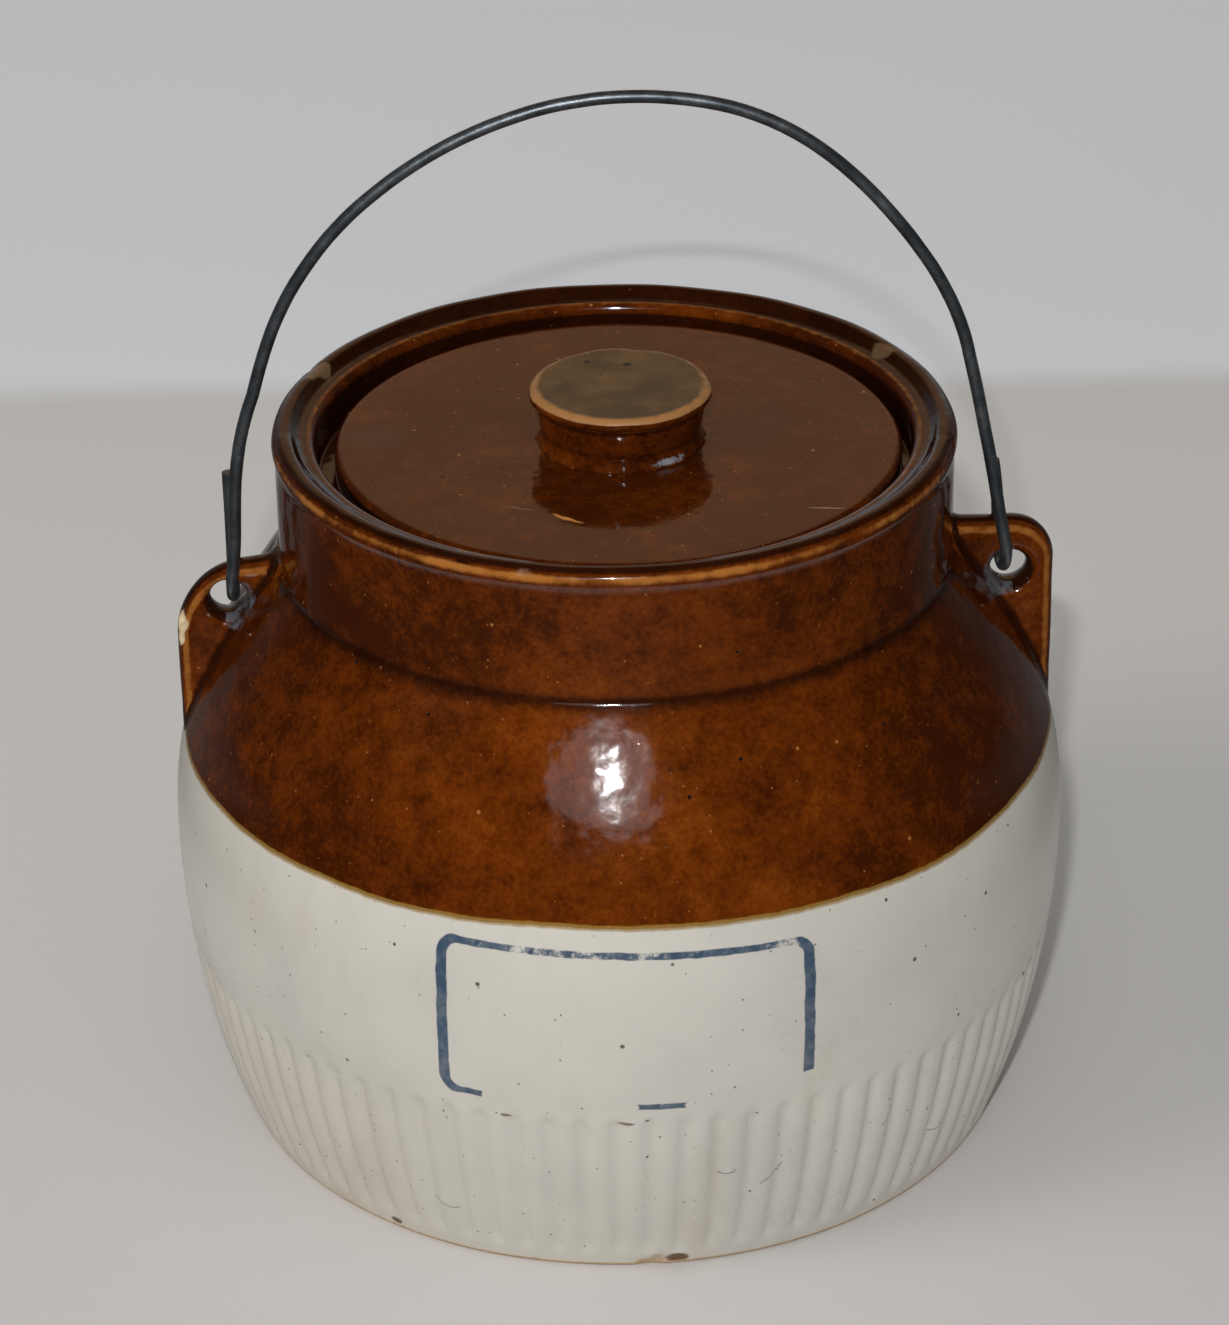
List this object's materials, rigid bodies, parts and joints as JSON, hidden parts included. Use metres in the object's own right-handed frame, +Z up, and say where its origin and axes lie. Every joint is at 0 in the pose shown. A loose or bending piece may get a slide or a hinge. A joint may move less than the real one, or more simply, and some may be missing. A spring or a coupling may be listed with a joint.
{
  "type": "butter crock",
  "caption": "Stoneware butter crock with a bulging body, upright neck, sunk lid with disc knob, and a wire bail hooked through pierced ears.",
  "frame": {"origin": "middle of the foot, on the surface that the crock stands on", "axes": "+Z up along the pot's axis, the two ears along X, the plain front towards -Y"},
  "size_m": [0.19, 0.19, 0.2296],
  "materials": {
    "pot_glaze": "glossy, brown above and cream below",
    "ear_glaze": "glossy brown slip",
    "lid_glaze": "glossy brown slip",
    "bare_clay": "unglazed top, brown stem",
    "bail_steel": "dulled zinc-coated wire"
  },
  "bodies": {
    "crock": {"crock_body": "pot_glaze", "left_ear": "ear_glaze", "right_ear": "ear_glaze"},
    "lid": {"lid_plate": "lid_glaze", "lid_knob": "bare_clay"},
    "bail": {"bail_wire": "bail_steel"}
  },
  "joints": [
    {"name": "lid_lift", "type": "slide", "parent": "crock", "child": "lid", "axis": [0, 0, 1], "range_m": [0, 0.04]},
    {"name": "bail_swing", "type": "hinge", "parent": "crock", "child": "bail", "pos_m": [0, 0, 0.1242], "axis": [1, 0, 0], "range_deg": [-105, 95]}
  ]
}
